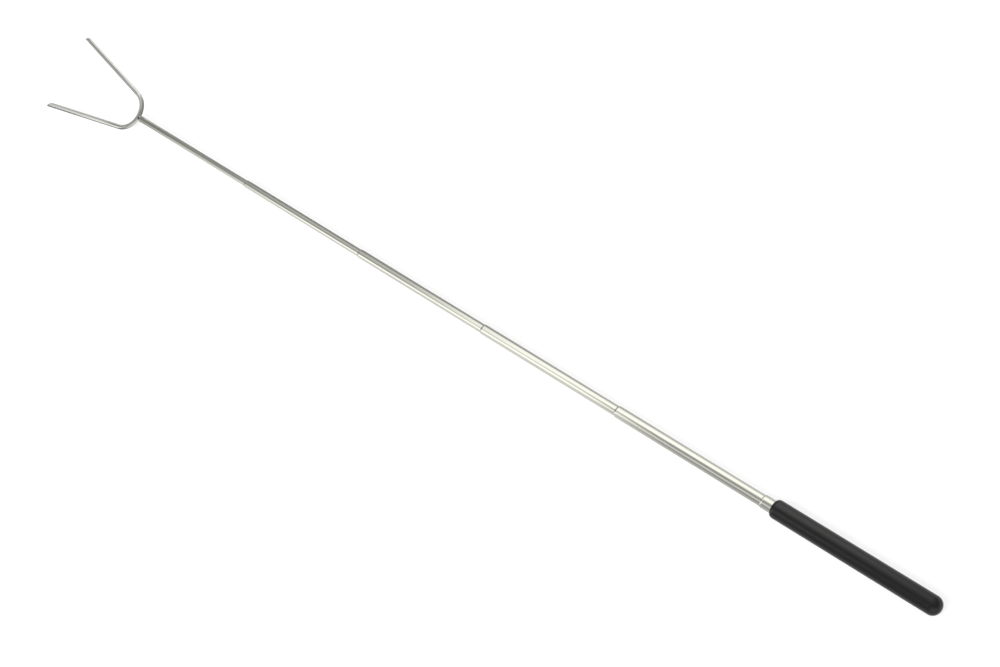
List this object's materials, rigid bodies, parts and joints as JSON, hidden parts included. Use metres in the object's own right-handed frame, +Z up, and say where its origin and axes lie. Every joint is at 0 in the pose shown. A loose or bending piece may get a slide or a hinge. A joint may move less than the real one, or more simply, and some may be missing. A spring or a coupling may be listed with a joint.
{
  "type": "marshmallow roasting fork",
  "caption": "Telescopic roasting fork with a black rubber grip, nested steel tubes and a two-pronged fork bent from wire.",
  "frame": {"origin": "on the stick's axis, in the middle of the grip's length", "axes": "+X along the stick from the grip to the fork, the fork lies in the XY plane, +Z up"},
  "size_m": [0.8138, 0.0632, 0.0129],
  "materials": {
    "grip_rubber": "matte",
    "polished_steel": "polished",
    "wire_steel": "polished",
    "weld_steel": "as welded",
    "brass": "turned",
    "spring_bronze": "satin",
    "plug_plastic": "matte"
  },
  "bodies": {
    "handle": {"grip": "grip_rubber", "butt_plug": "plug_plastic", "tube_1": "polished_steel"},
    "slider_2": {"spring_2": "spring_bronze"},
    "section_2": {"tube_2": "polished_steel", "bush_2": "brass"},
    "slider_3": {"spring_3": "spring_bronze"},
    "section_3": {"tube_3": "polished_steel", "bush_3": "brass"},
    "slider_4": {"spring_4": "spring_bronze"},
    "section_4": {"tube_4": "polished_steel", "bush_4": "brass"},
    "slider_5": {"spring_5": "spring_bronze"},
    "section_5": {"tube_5": "polished_steel", "bush_5": "brass"},
    "slider_6": {"spring_6": "spring_bronze"},
    "section_6": {"tube_6": "polished_steel", "bush_6": "brass", "tip_plug": "wire_steel", "fork_weld": "weld_steel", "fork_wire": "wire_steel"}
  },
  "joints": [
    {"name": "slide_2", "type": "slide", "parent": "handle", "child": "slider_2", "axis": [-1, 0, 0], "range_m": [0, 0.1115]},
    {"name": "turn_2", "type": "hinge", "parent": "slider_2", "child": "section_2", "pos_m": [0.0698, 0, 0], "axis": [1, 0, 0], "continuous": true},
    {"name": "slide_3", "type": "slide", "parent": "section_2", "child": "slider_3", "axis": [-1, 0, 0], "range_m": [0, 0.1115]},
    {"name": "turn_3", "type": "hinge", "parent": "slider_3", "child": "section_3", "pos_m": [0.1883, 0, 0], "axis": [1, 0, 0], "continuous": true},
    {"name": "slide_4", "type": "slide", "parent": "section_3", "child": "slider_4", "axis": [-1, 0, 0], "range_m": [0, 0.1115]},
    {"name": "turn_4", "type": "hinge", "parent": "slider_4", "child": "section_4", "pos_m": [0.3068, 0, 0], "axis": [1, 0, 0], "continuous": true},
    {"name": "slide_5", "type": "slide", "parent": "section_4", "child": "slider_5", "axis": [-1, 0, 0], "range_m": [0, 0.1115]},
    {"name": "turn_5", "type": "hinge", "parent": "slider_5", "child": "section_5", "pos_m": [0.4253, 0, 0], "axis": [1, 0, 0], "continuous": true},
    {"name": "slide_6", "type": "slide", "parent": "section_5", "child": "slider_6", "axis": [-1, 0, 0], "range_m": [0, 0.1115]},
    {"name": "turn_6", "type": "hinge", "parent": "slider_6", "child": "section_6", "pos_m": [0.5438, 0, 0], "axis": [1, 0, 0], "continuous": true}
  ]
}
